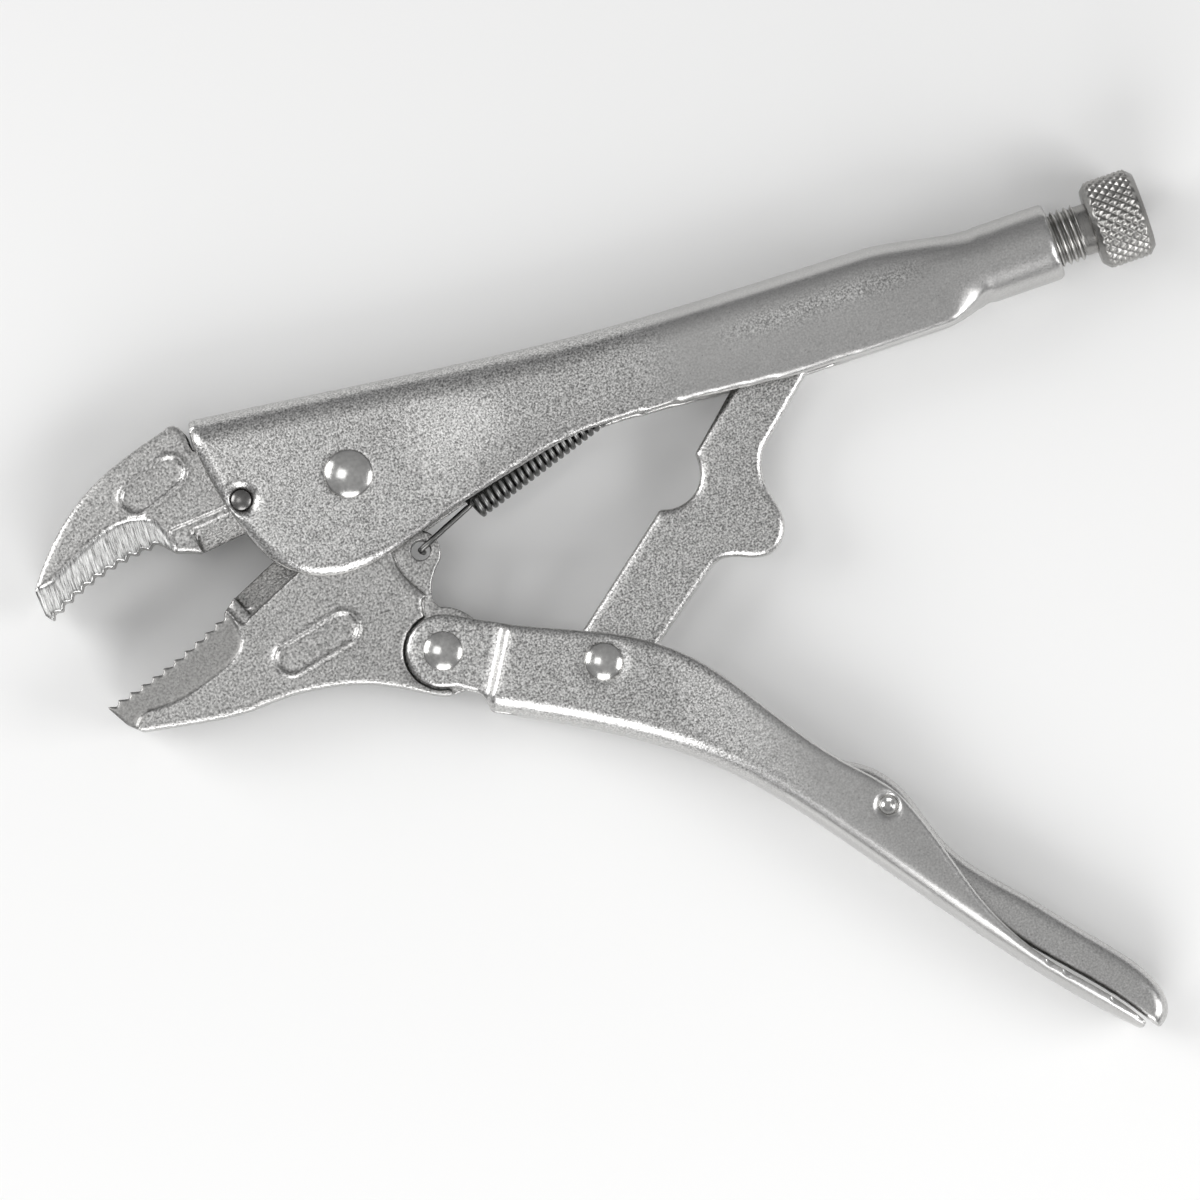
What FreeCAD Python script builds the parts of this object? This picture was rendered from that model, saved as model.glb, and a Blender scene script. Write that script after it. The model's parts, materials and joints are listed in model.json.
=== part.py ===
import FreeCAD, Part
import math
import os
import Sketcher
from FreeCAD import Placement, Rotation, Vector

# Locking pliers lying on their side.
# +X runs from the jaws to the knurled knob, +Y points to the fixed handle's back, +Z is the
# thickness.  Every outline is drawn in the pivot frame, whose origin is the main pivot, and the
# placements move all the pieces so that the origin is at the bottom centre of the whole tool.

doc = FreeCAD.newDocument("locking_pliers")
sheet = doc.addObject("Spreadsheet::Sheet", "sizes")

SIZES = [
    # the frame: bottom centre of the tool, seen from the main pivot
    ("frame_x", -53.7), ("frame_y", 72.5), ("frame_z", 10.1),
    # sheet metal and forgings
    ("sheet_thickness", 2.2), ("channel_inside", 12.6), ("channel_outside", 17.0),
    ("jaw_thickness", 12.0), ("tail_thickness", 8.0), ("ear_inside", 8.6), ("ear_outside", 13.0),
    ("bend_radius", 6.5), ("bend_radius_inside", 3.5),
    ("lower_bend_radius", 5.0), ("lower_bend_radius_inside", 2.8), ("seam_width", 2.4),
    # pivots
    ("pin_play", 0.05),
    ("main_pin_radius", 3.5), ("main_head_radius", 5.15), ("main_head_height", 1.6),
    ("jaw_rivet_x", 6.6), ("jaw_rivet_y", -42.2),
    ("jaw_rivet_radius", 2.75), ("jaw_rivet_head", 4.2), ("jaw_rivet_dome", 1.4),
    ("toggle_rivet_x", 38.2), ("toggle_rivet_y", -55.6),
    ("toggle_rivet_radius", 2.5), ("toggle_rivet_head", 4.0), ("toggle_rivet_dome", 1.4),
    ("lever_pin_x", 85.4), ("lever_pin_y", -104.3), ("lever_pin_radius", 2.1),
    ("jaw_pin_x", -23.5), ("jaw_pin_y", 2.2), ("jaw_pin_radius", 2.2),
    ("anchor_x", 76.5), ("anchor_y", 3.0), ("anchor_radius", 1.4),
    # toggle link
    ("link_thickness", 4.8), ("link_end_x", 100.5), ("link_end_y", -2.3),
    ("link_end_radius", 6.2), ("link_eye_radius", 7.5), ("link_chamfer", 0.4),
    ("spacer_radius", 4.6), ("spacer_gap", 0.3),
    # jaw details
    ("eye_x", 9.1), ("eye_y", -20.3), ("eye_radius", 2.1),
    ("tooth_depth", 1.2), ("tooth_relief", 0.5), ("badge_depth", 0.3),
    ("cutter_recess", 0.7), ("cutter_land", 0.4), ("cutter_rise", 5.5),
    ("tail_radius", 9.5), ("hub_radius", 11.5), ("ear_radius", 7.9), ("ear_clearance", 0.5),
    ("joggle_start", 10.9), ("joggle_end", 13.1), ("joggle_cut", 60.0),
    # release lever
    ("lever_thickness", 10.8), ("lever_wall", 1.5), ("lever_bend_radius", 3.5),
    # spring
    ("coil_radius", 3.75), ("wire_radius", 0.62), ("coil_x", 22.4), ("coil_y", -14.6),
    ("coil_length", 46.0), ("coil_angle", 17.8), ("hook_height", 5.4), ("anchor_play", 0.05),
    # adjusting screw
    ("screw_axis_y", -1.9), ("screw_radius", 6.05), ("screw_play", 0.08), ("nose_x", 111.2),
    ("nose_chamfer", 1.6), ("barrel_radius", 8.4), ("barrel_start_x", 141.0),
    ("barrel_end_x", 158.6), ("bore_depth", 19.0),
    ("knob_start_x", 167.0), ("knob_length", 11.8), ("knob_radius", 9.7), ("knob_chamfer", 1.6),
]

for row, (alias, number) in enumerate(SIZES, start=1):
    sheet.set("A%d" % row, alias)
    sheet.set("B%d" % row, str(number))
    sheet.setAlias("B%d" % row, alias)
doc.recompute()


def size(alias):
    return float(sheet.get(alias))


MID = Vector(0, 0, 0)
JAW_RIVET = Vector(size("jaw_rivet_x"), size("jaw_rivet_y"), 0)
TOGGLE_RIVET = Vector(size("toggle_rivet_x"), size("toggle_rivet_y"), 0)
LEVER_PIN = Vector(size("lever_pin_x"), size("lever_pin_y"), 0)
JAW_PIN = Vector(size("jaw_pin_x"), size("jaw_pin_y"), 0)
ANCHOR = Vector(size("anchor_x"), size("anchor_y"), 0)
LINK_END = Vector(size("link_end_x"), size("link_end_y"), 0)
EYE = Vector(size("eye_x"), size("eye_y"), 0)
SUB_PARTS = []


# ---------------------------------------------------------------- helpers

def put(obj, label, at=MID, rotation=Rotation()):
    """Name a sub-part and place it in the tool's frame."""
    obj.Label = label
    obj.Placement = Placement(at, rotation)
    for axis in ("x", "y", "z"):
        offset = getattr(at, axis)
        obj.setExpression("Placement.Base." + axis, "sizes.frame_%s + %.4f" % (axis, offset))
    SUB_PARTS.append(obj)


def new_body(name):
    return doc.addObject("PartDesign::Body", name + "_body")


def new_sketch(body, name, role="XY_Plane", offset=Placement()):
    """An empty sketch on one of the body's own origin planes."""
    sketch = body.newObject("Sketcher::SketchObject", name)
    plane = [part for part in body.Origin.OriginFeatures if part.Role == role][0]
    sketch.AttachmentSupport = [(plane, "")]
    sketch.MapMode = "FlatFace"
    sketch.AttachmentOffset = offset
    return sketch


def vec(point):
    return Vector(point[0], point[1], 0)


def draw(sketch, start, *steps):
    """Draw a closed outline.

    A step is ("to", point), ("arc", mid point, end point) or ("curve", points).
    """
    here = start
    for step in steps:
        kind, points = step[0], step[1:]
        if kind == "to":
            sketch.addGeometry(Part.LineSegment(vec(here), vec(points[0])))
            here = points[0]
        elif kind == "arc":
            sketch.addGeometry(Part.Arc(vec(here), vec(points[0]), vec(points[1])))
            here = points[1]
        else:
            spline = Part.BSplineCurve()
            spline.interpolate([vec(here)] + [vec(point) for point in points[0]])
            sketch.addGeometry(spline)
            here = points[0][-1]
    if vec(here).distanceToPoint(vec(start)) > 1e-6:
        sketch.addGeometry(Part.LineSegment(vec(here), vec(start)))


def circle(sketch, centre, radius_formula):
    """Draw a circle whose radius follows the sheet."""
    index = sketch.addGeometry(Part.Circle(vec(centre), Vector(0, 0, 1), 1.0))
    number = sketch.addConstraint(Sketcher.Constraint("Radius", index, 1.0))
    sketch.renameConstraint(number, "radius_%d" % index)
    sketch.setExpression("Constraints.radius_%d" % index, radius_formula)


def extrude(body, kind, name, sketch, length_formula):
    """A pad or a pocket, the same distance to both sides of the sketch."""
    feature = body.newObject("PartDesign::" + kind, name)
    feature.Profile = sketch
    feature.SideType = "Symmetric"
    feature.setExpression("Length", length_formula)
    doc.recompute()
    return feature


def pad(body, name, sketch, length_formula):
    return extrude(body, "Pad", name, sketch, length_formula)


def pocket(body, name, sketch, length_formula):
    before = body.Tip.Shape.Volume
    feature = extrude(body, "Pocket", name, sketch, length_formula)
    if not body.Tip.Shape.Volume < before - 1e-3:
        raise RuntimeError(name + " cuts nothing")
    return feature


def flank_pocket(body, name, outline, depth_formula, half_formula):
    """Pockets of one depth in both flanks, from the outside inwards."""
    for side, flip in (("near", 1), ("far", -1)):
        sketch = new_sketch(body, name + "_" + side)
        outline(sketch)
        sketch.setExpression("AttachmentOffset.Base.z", "%d * (%s)" % (flip, half_formula))
        before = body.Tip.Shape.Volume
        feature = body.newObject("PartDesign::Pocket", name + "_cut_" + side)
        feature.Profile = sketch
        feature.SideType = "One side"
        feature.Reversed = flip < 0
        feature.setExpression("Length", depth_formula)
        doc.recompute()
        if not body.Tip.Shape.Volume < before - 1e-3:
            raise RuntimeError(name + " cuts nothing")


def edges(body, test):
    """Names of the body's edges whose middle point and ends pass the test."""
    names = []
    for number, edge in enumerate(body.Tip.Shape.Edges, start=1):
        first, last = edge.ParameterRange
        middle = edge.valueAt((first + last) / 2)
        if test(edge, middle):
            names.append("Edge%d" % number)
    if not names:
        raise RuntimeError("no edge found in " + body.Name)
    return names


def dress(body, kind, name, names, formula):
    """A fillet (Radius) or a chamfer (Size) on the named edges of the body's tip."""
    base = body.Tip
    feature = body.newObject("PartDesign::" + kind, name)
    feature.Base = (base, names)
    feature.setExpression("Radius" if kind == "Fillet" else "Size", formula)
    doc.recompute()
    if feature.Shape.isNull() or not feature.Shape.isValid():
        raise RuntimeError("%s failed on %s" % (name, names))
    return feature


def in_plane(edge, z):
    return all(abs(vertex.Z - z) < 1e-4 for vertex in edge.Vertexes)


def polar(centre, radius, degrees):
    angle = math.radians(degrees)
    return (centre[0] + radius * math.cos(angle), centre[1] + radius * math.sin(angle))


def shift(points, dx, dy):
    return [(x + dx, y + dy) for x, y in points]


def teeth(start, middle, end, count, depth, lean):
    """Tooth tips and roots along the arc through three points, start to end."""
    arc = Part.Arc(vec(start), vec(middle), vec(end)).toShape()
    first, last = arc.ParameterRange
    centre = arc.Curve.Center
    points = []
    for number in range(count):
        for part, deep in ((0.0, 0.0), (lean, 1.0)):
            at = arc.valueAt(first + (last - first) * (number + part) / count)
            outwards = (at - centre).normalize()
            at = at + outwards * depth * deep
            points.append((at.x, at.y))
    return points + [end]


# ---------------------------------------------------------------- fixed handle

BACK = [(-28.9, 22.2), (10.0, 17.3), (54.0, 12.4), (95.0, 10.4), (143.0, 9.2)]


def fixed_handle():
    t = size("sheet_thickness")
    body = new_body("fixed_handle")
    outline = new_sketch(body, "fixed_handle_outline")
    draw(outline, BACK[0],
         ("curve", BACK[1:]),
         ("to", (143.0, -10.8)),
         ("to", (137.0, -12.0)),
         ("to", (99.2, -11.6)),
         ("curve", [(82.3, -9.9), (62.0, -8.1), (48.1, -8.1), (34.7, -10.6), (20.0, -14.1),
                    (9.0, -17.3), (-2.0, -19.8), (-12.9, -18.7), (-21.1, -12.4), (-25.3, -3.5),
                    (-27.4, 3.5), (-29.6, 18.3)]))
    pad(body, "fixed_handle_block", outline, "sizes.channel_outside")
    half = size("channel_outside") / 2
    top = edges(body, lambda edge, m: in_plane(edge, math.copysign(half, m.z))
                and -28.0 < m.x < 147.0 and m.y > 5.0 and edge.Length > 4.0)
    dress(body, "Fillet", "fixed_handle_back", top, "sizes.bend_radius")

    inside = new_sketch(body, "fixed_handle_inside")
    roof = shift(BACK, 0, -t)
    draw(inside, (-40.0, roof[0][1] + 1.4),
         ("to", roof[0]),
         ("curve", roof[1:]),
         ("to", (143.0, -9.4)),
         ("to", (106.0, -9.4)),
         ("to", (106.0, -30.0)),
         ("to", (-40.0, -30.0)))
    pocket(body, "fixed_handle_channel", inside, "sizes.channel_inside")
    inner = size("channel_inside") / 2
    ceiling = edges(body, lambda edge, m: in_plane(edge, math.copysign(inner, m.z))
                    and -28.0 < m.x < 134.0 and m.y > 5.0 and edge.Length > 30.0)
    dress(body, "Fillet", "fixed_handle_ceiling", ceiling, "sizes.bend_radius_inside")

    seam = new_sketch(body, "fixed_handle_seam")
    draw(seam, (104.0, -13.0), ("to", (138.0, -13.0)), ("to", (138.0, -9.0)), ("to", (104.0, -9.0)))
    pocket(body, "fixed_handle_seam_cut", seam, "sizes.seam_width")

    axis = (size("screw_axis_y"), 0)
    tube = new_sketch(body, "barrel_outline", "YZ_Plane")
    circle(tube, axis, "sizes.barrel_radius")
    tube.setExpression("AttachmentOffset.Base.z", "sizes.barrel_start_x")
    barrel = body.newObject("PartDesign::Pad", "barrel")
    barrel.Profile = tube
    barrel.setExpression("Length", "sizes.barrel_end_x - sizes.barrel_start_x")
    doc.recompute()
    bore = new_sketch(body, "barrel_bore_outline", "YZ_Plane")
    circle(bore, axis, "sizes.screw_radius + sizes.screw_play")
    bore.setExpression("AttachmentOffset.Base.z", "sizes.barrel_end_x")
    before = body.Tip.Shape.Volume
    cut = body.newObject("PartDesign::Pocket", "barrel_bore")
    cut.Profile = bore
    cut.setExpression("Length", "sizes.bore_depth")
    doc.recompute()
    if not body.Tip.Shape.Volume < before - 1000:
        raise RuntimeError("the barrel bore cuts nothing")

    holes = new_sketch(body, "fixed_handle_holes")
    circle(holes, (0, 0), "sizes.main_pin_radius")
    circle(holes, JAW_PIN, "sizes.jaw_pin_radius")
    circle(holes, ANCHOR, "sizes.anchor_radius")
    pocket(body, "fixed_handle_pin_holes", holes, "sizes.channel_outside + 2")
    put(body, "fixed_handle")


# ---------------------------------------------------------------- jaws

def badge(centre, half_length, half_height, degrees):
    """A blank pill-shaped panel."""
    def outline(sketch):
        along = Vector(math.cos(math.radians(degrees)), math.sin(math.radians(degrees)), 0)
        across = Vector(-along.y, along.x, 0)
        a, b = along * (half_length - half_height), across * half_height
        tip = along * half_length
        middle = vec(centre)
        draw(sketch, middle - a + b,
             ("to", middle + a + b),
             ("arc", middle + tip, middle + a - b),
             ("to", middle - a - b),
             ("arc", middle - tip, middle - a + b))
    return outline


def cutting_edge(body, name, start, end, side, flank):
    """Two bevels that leave a wire cutter's narrow land along the line start to end.

    side is 1 where the metal lies to the left of that line, and -1 where it lies to the right.
    """
    line = vec(end) - vec(start)
    inwards = Vector(-line.y, line.x, 0).normalize() * side
    heading = math.degrees(math.atan2(inwards.y, inwards.x))
    turn = Rotation(Vector(0, 0, 1), heading) * Rotation(Vector(1, 0, 0), 90)
    centre = (vec(start) + vec(end)) / 2
    sketch = new_sketch(body, name, offset=Placement(centre, turn))
    land = size("cutter_land")
    rise = size("cutter_rise")
    lip = 0.3
    drop = lip * (flank - land) / rise
    for face in (1, -1):
        draw(sketch, (-lip, face * (land - drop)),
             ("to", (rise, face * flank)),
             ("to", (rise, face * (flank + 1.0))),
             ("to", (-lip, face * (flank + 1.0))))
    pocket(body, name + "_bevels", sketch, "%.3f" % line.Length)


def fixed_jaw():
    body = new_body("fixed_jaw")
    depth = size("tooth_depth")
    outline = new_sketch(body, "fixed_jaw_outline")
    row = teeth((-42.6, -1.2), (-56.4, -3.2), (-69.6, -9.0), 10, depth, 0.5)
    draw(outline, (-71.4, -1.6),
         ("curve", [(-63.6, 7.6), (-55.9, 13.6), (-49.5, 16.9), (-42.0, 19.6), (-34.5, 21.7)]),
         ("curve", [(-32.4, 22.2), (-31.0, 21.2)]),
         ("to", (-30.0, 19.0)),
         ("to", (-29.9, 15.6)),
         ("to", (-13.0, 13.8)),
         ("to", (-13.0, -3.4)),
         ("to", (-34.8, -5.6)),
         ("curve", [(-37.5, -4.6), (-40.4, -3.6)]),
         ("to", row[0]),
         *[("to", point) for point in row[1:]],
         ("to", (-70.9, -7.4)))
    pad(body, "fixed_jaw_block", outline, "sizes.channel_inside")

    def ground(sketch):
        draw(sketch, (-74.0, -1.5),
             ("to", (-67.3, -0.7)),
             ("curve", [(-63.4, 1.4), (-55.8, 4.8), (-50.9, 6.2), (-45.7, 6.0), (-42.6, 4.4)]),
             ("curve", [(-41.1, 1.6), (-40.5, -4.6)]),
             ("to", (-40.5, -12.0)),
             ("to", (-74.0, -12.0)))
    flank_pocket(body, "fixed_jaw_ground", ground, "sizes.tooth_relief", "sizes.channel_inside / 2")

    def cutter(sketch):
        draw(sketch, (-40.2, 1.2), ("to", (-10.0, 3.2)), ("to", (-10.0, -12.0)),
             ("to", (-40.2, -12.0)))
    flank_pocket(body, "fixed_jaw_cutter", cutter, "sizes.cutter_recess",
                 "sizes.channel_inside / 2")
    cutting_edge(body, "fixed_jaw_cutting_edge", (-34.8, -5.6), (-13.0, -3.4), 1,
                 size("channel_inside") / 2 - size("cutter_recess"))
    flank_pocket(body, "fixed_jaw_badge", badge((-40.3, 11.5), 8.0, 3.4, 20.0),
                 "sizes.badge_depth", "sizes.channel_inside / 2")
    hole = new_sketch(body, "fixed_jaw_hole")
    circle(hole, JAW_PIN, "sizes.jaw_pin_radius")
    pocket(body, "fixed_jaw_pin_hole", hole, "sizes.channel_outside")
    put(body, "fixed_jaw")


def moving_jaw():
    body = new_body("moving_jaw")
    depth = size("tooth_depth")
    hub = size("hub_radius")
    tail = size("tail_radius")
    outline = new_sketch(body, "moving_jaw_outline")
    row = teeth((-65.0, -30.0), (-50.6, -26.0), (-34.9, -19.4), 11, depth, 0.75)
    entry = polar((0, 0), hub, 216)
    leave = polar((0, 0), hub, -48)
    low = polar(JAW_RIVET, tail, 248)
    high = polar(JAW_RIVET, tail, 75)
    draw(outline, row[0],
         *[("to", point) for point in row[1:]],
         ("to", (-34.0, -18.6)),
         ("to", (-31.7, -16.8)),
         ("to", entry),
         ("arc", (0, hub), leave),
         ("to", (3.6, -17.0)),
         ("curve", [(3.3, -22.4), (6.2, -28.6), high]),
         ("arc", polar(JAW_RIVET, tail, -20), low),
         ("curve", [(-3.2, -47.3), (-9.3, -44.1), (-19.6, -41.2), (-28.8, -40.4),
                    (-36.8, -40.7), (-44.5, -40.0), (-59.5, -37.4)]),
         ("to", (-62.2, -34.9)))
    pad(body, "moving_jaw_block", outline, "sizes.jaw_thickness")

    def ground(sketch):
        draw(sketch, (-34.2, -18.2),
             ("curve", [(-33.0, -23.0), (-33.4, -27.2), (-35.2, -29.0), (-41.6, -31.7),
                        (-48.0, -33.6), (-56.8, -33.9)]),
             ("curve", [(-58.4, -34.4), (-60.2, -36.6)]),
             ("to", (-70.0, -38.0)),
             ("to", (-70.0, -16.0)),
             ("to", (-38.0, -16.0)))
    flank_pocket(body, "moving_jaw_ground", ground, "sizes.tooth_relief", "sizes.jaw_thickness / 2")

    def cutter(sketch):
        draw(sketch, (-36.0, -14.0), ("to", (-8.0, -2.0)), ("to", (-6.0, -7.0)),
             ("to", (-18.0, -15.6)), ("to", (-32.0, -23.2)))
    flank_pocket(body, "moving_jaw_cutter", cutter, "sizes.cutter_recess",
                 "sizes.jaw_thickness / 2")
    cutting_edge(body, "moving_jaw_cutting_edge", (-31.7, -16.8), entry, -1,
                 size("jaw_thickness") / 2 - size("cutter_recess"))
    flank_pocket(body, "moving_jaw_badge", badge((-18.2, -31.8), 9.8, 3.5, 12.0),
                 "sizes.badge_depth", "sizes.jaw_thickness / 2")

    # the thin tail, which the lower handle's two ears straddle, and the spring's ear
    thin = "(sizes.jaw_thickness - sizes.tail_thickness) / 2"
    clear = size("ear_radius") + size("ear_clearance")

    def ear_seat(sketch):
        draw(sketch, polar(JAW_RIVET, clear, 100),
             ("arc", polar(JAW_RIVET, clear, 185), polar(JAW_RIVET, clear, 262)),
             ("to", (JAW_RIVET.x, JAW_RIVET.y - 14.0)),
             ("to", (JAW_RIVET.x + 16.0, JAW_RIVET.y - 14.0)),
             ("to", (JAW_RIVET.x + 16.0, JAW_RIVET.y + 20.0)),
             ("to", (JAW_RIVET.x - 1.0, JAW_RIVET.y + 11.5)))
    flank_pocket(body, "moving_jaw_ear_seat", ear_seat, thin, "sizes.jaw_thickness / 2")
    ear = new_sketch(body, "spring_ear_outline")
    draw(ear, (3.0, -15.0),
         ("to", (9.6, -15.9)),
         ("arc", (13.2, -19.6), (12.2, -23.6)),
         ("curve", [(9.1, -27.4), (8.3, -29.8), (8.6, -32.4), (10.2, -34.8),
                    polar(JAW_RIVET, tail, 40)]),
         ("to", (JAW_RIVET.x, JAW_RIVET.y)),
         ("to", (1.0, -30.0)))
    pad(body, "spring_ear", ear, "sizes.tail_thickness")
    holes = new_sketch(body, "moving_jaw_holes")
    circle(holes, (0, 0), "sizes.main_pin_radius + sizes.pin_play")
    circle(holes, JAW_RIVET, "sizes.jaw_rivet_radius + sizes.pin_play")
    circle(holes, EYE, "sizes.eye_radius")
    pocket(body, "moving_jaw_pin_holes", holes, "sizes.jaw_thickness + 2")
    put(body, "moving_jaw")


# ---------------------------------------------------------------- lower handle

BELLY = [(12.0, -57.9), (31.4, -68.3), (52.3, -83.0), (75.7, -110.4), (101.9, -145.6),
         (121.1, -167.1)]
JOGGLE_ANGLE = -31.0


def lower_handle():
    t = size("sheet_thickness")
    ear = size("ear_radius")
    body = new_body("lower_handle")
    outline = new_sketch(body, "lower_handle_outline")
    draw(outline, BELLY[0],
         ("curve", BELLY[1:]),
         ("to", (122.2, -165.9)),
         ("curve", [(115.2, -156.1), (107.7, -147.6), (98.0, -130.6), (94.5, -119.8),
                    (90.4, -107.3), (88.2, -102.6), (79.7, -92.6), (73.2, -84.4),
                    (66.0, -73.7), (57.7, -62.4), (47.1, -53.6), (36.5, -48.0), (22.5, -41.8)]),
         ("to", polar(JAW_RIVET, ear, 66)),
         ("arc", polar(JAW_RIVET, ear, 180), polar(JAW_RIVET, ear, 268)),
         ("to", (9.6, -52.2)),
         ("curve", [(11.4, -53.8), (12.0, -56.0), BELLY[0]]))
    pad(body, "lower_handle_block", outline, "sizes.channel_outside")
    half = size("channel_outside") / 2
    bends = edges(body, lambda edge, m: in_plane(edge, math.copysign(half, m.z))
                  and edge.Length > 100.0 and m.y < -1.25 * m.x + 2.0)
    dress(body, "Fillet", "lower_handle_bends", bends, "sizes.lower_bend_radius")

    # the rear channel, open towards the fixed handle
    inside = new_sketch(body, "lower_handle_inside")
    floor = [(17.5, -58.6), (32.3, -66.2), (53.7, -81.2), (77.5, -109.1), (103.6, -144.2),
             (124.0, -167.1)]
    draw(inside, floor[0],
         ("curve", floor[1:]),
         ("to", (140.0, -150.0)),
         ("to", (60.0, -30.0)),
         ("to", (24.5, -30.0)))
    pocket(body, "lower_handle_channel", inside, "sizes.channel_inside")
    inner = size("channel_inside") / 2
    corners = edges(body, lambda edge, m: in_plane(edge, math.copysign(inner, m.z))
                    and edge.Length > 100.0 and m.y < -1.25 * m.x + 6.0)
    dress(body, "Fillet", "lower_handle_corners", corners, "sizes.lower_bend_radius_inside")

    # the ears in front, stepped in towards the jaw's tail
    front = new_sketch(body, "lower_handle_ear_slot")
    draw(front, (-12.0, -62.0),
         ("to", (16.0, -62.0)),
         ("to", (24.5, -44.0)),
         ("to", (24.5, -30.0)),
         ("to", (-12.0, -30.0)))
    pocket(body, "lower_handle_ear_gap", front, "sizes.ear_inside")
    turn = Rotation(Vector(0, 0, 1), JOGGLE_ANGLE) * Rotation(Vector(1, 0, 0), 90)
    joggle = new_sketch(body, "lower_handle_joggle", offset=Placement(JAW_RIVET, turn))
    narrow = size("ear_outside") / 2
    for side in (1, -1):
        draw(joggle, (-15.0, side * narrow),
             ("to", (size("joggle_start"), side * narrow)),
             ("to", (size("joggle_end"), side * (half + 0.2))),
             ("to", (-15.0, side * (half + 0.2))))
    pocket(body, "lower_handle_joggle_cut", joggle, "sizes.joggle_cut")

    holes = new_sketch(body, "lower_handle_holes")
    circle(holes, JAW_RIVET, "sizes.jaw_rivet_radius")
    circle(holes, TOGGLE_RIVET, "sizes.toggle_rivet_radius")
    circle(holes, LEVER_PIN, "sizes.lever_pin_radius")
    pocket(body, "lower_handle_pin_holes", holes, "sizes.channel_outside + 2")
    put(body, "lower_handle")


# ---------------------------------------------------------------- toggle link, release lever

def toggle_link():
    eye = size("link_eye_radius")
    end = size("link_end_radius")
    body = new_body("toggle_link")
    outline = new_sketch(body, "toggle_link_outline")
    draw(outline, polar(TOGGLE_RIVET, eye, 130),
         ("to", (60.2, -28.6)),
         ("curve", [(65.6, -29.1), (69.3, -26.9), (71.1, -23.0), (71.1, -19.9)]),
         ("to", polar(LINK_END, end, 133)),
         ("arc", polar(LINK_END, end, 40), polar(LINK_END, end, -47)),
         ("to", (85.4, -23.6)),
         ("curve", [(83.6, -28.2), (83.5, -33.0), (84.6, -38.0), (83.5, -42.4),
                    (80.2, -45.2), (76.3, -45.1), (71.7, -43.3), (67.5, -43.4)]),
         ("to", polar(TOGGLE_RIVET, eye, -50)),
         ("arc", polar(TOGGLE_RIVET, eye, -140), polar(TOGGLE_RIVET, eye, 130)))
    pad(body, "toggle_link_plate", outline, "sizes.link_thickness")
    hole = new_sketch(body, "toggle_link_hole")
    circle(hole, TOGGLE_RIVET, "sizes.toggle_rivet_radius + sizes.pin_play")
    pocket(body, "toggle_link_eye", hole, "sizes.link_thickness + 2")
    half = size("link_thickness") / 2
    rim = edges(body, lambda edge, m: in_plane(edge, math.copysign(half, m.z))
                and "Circle" not in str(edge.Curve) and edge.Length > 8.0)
    dress(body, "Chamfer", "toggle_link_edge", rim, "sizes.link_chamfer")
    put(body, "toggle_link")


def release_lever():
    body = new_body("release_lever")
    outline = new_sketch(body, "release_lever_outline")
    draw(outline, (69.6, -89.0),
         ("to", (72.4, -87.2)),
         ("curve", [(79.9, -92.2), (84.6, -95.4), (88.6, -100.2), (91.0, -105.8),
                    (93.4, -113.5), (96.9, -120.3), (106.7, -131.9), (115.6, -142.6),
                    (124.4, -153.4), (127.2, -158.8), (127.8, -164.0), (124.6, -168.0)]),
         ("to", (122.9, -165.2)),
         ("curve", [(116.0, -155.8), (104.6, -142.8), (90.4, -124.2), (82.0, -112.6)]),
         ("curve", [(79.6, -108.6), (79.2, -103.0), (75.6, -97.4), (70.4, -92.6)]))
    pad(body, "release_lever_block", outline, "sizes.lever_thickness")
    half = size("lever_thickness") / 2
    back = edges(body, lambda edge, m: in_plane(edge, math.copysign(half, m.z))
                 and edge.Length > 90.0)
    dress(body, "Fillet", "release_lever_back", back, "sizes.lever_bend_radius")
    inside = new_sketch(body, "release_lever_inside")
    draw(inside, (78.0, -96.6),
         ("curve", [(83.2, -98.2), (86.2, -101.6), (88.4, -107.0), (91.0, -114.6),
                    (95.4, -122.6), (104.6, -133.6), (113.6, -144.4), (121.4, -154.2)]),
         ("to", (112.0, -163.0)),
         ("to", (70.0, -112.0)))
    pocket(body, "release_lever_trough", inside, "sizes.lever_thickness - 2 * sizes.lever_wall")
    hole = new_sketch(body, "release_lever_hole")
    circle(hole, LEVER_PIN, "sizes.lever_pin_radius + sizes.pin_play")
    pocket(body, "release_lever_eye", hole, "sizes.lever_thickness + 2")
    put(body, "release_lever")


# ---------------------------------------------------------------- pins, rivets, collars, screw

def turned(name, label, profile, at=MID, rotation=Rotation()):
    """A turned piece: a closed profile (radius, height) revolved about its own Z axis."""
    body = new_body(name)
    sketch = new_sketch(body, name + "_profile", "XZ_Plane")
    draw(sketch, profile[0], *profile[1:])
    feature = body.newObject("PartDesign::Revolution", name + "_turning")
    feature.Profile = sketch
    feature.ReferenceAxis = (sketch, ["V_Axis"])
    feature.Angle = 360.0
    doc.recompute()
    put(body, label, at, rotation)


def rivet(name, at, shaft, head, dome, half):
    """A rivet with a domed head on both sides of a stack 2 * half thick."""
    rim = 0.35
    rise = dome - rim
    ball = (head * head + rise * rise) / (2 * rise)
    lean = math.asin(head / ball) / 2
    top = half + dome
    shoulder = (ball * math.sin(lean), top - ball + ball * math.cos(lean))
    turned(name, name,
           [(0, -top),
            ("arc", (shoulder[0], -shoulder[1]), (head, -half - rim)),
            ("to", (head, -half)),
            ("to", (shaft, -half)),
            ("to", (shaft, half)),
            ("to", (head, half)),
            ("to", (head, half + rim)),
            ("arc", shoulder, (0, top))], at)


def rivets():
    outside = size("channel_outside") / 2
    rivet("main_pivot_rivet", MID, size("main_pin_radius"), size("main_head_radius"),
          size("main_head_height"), outside)
    rivet("jaw_handle_rivet", JAW_RIVET, size("jaw_rivet_radius"), size("jaw_rivet_head"),
          size("jaw_rivet_dome"), size("ear_outside") / 2)
    rivet("toggle_rivet", TOGGLE_RIVET, size("toggle_rivet_radius"), size("toggle_rivet_head"),
          size("toggle_rivet_dome"), outside)


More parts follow.
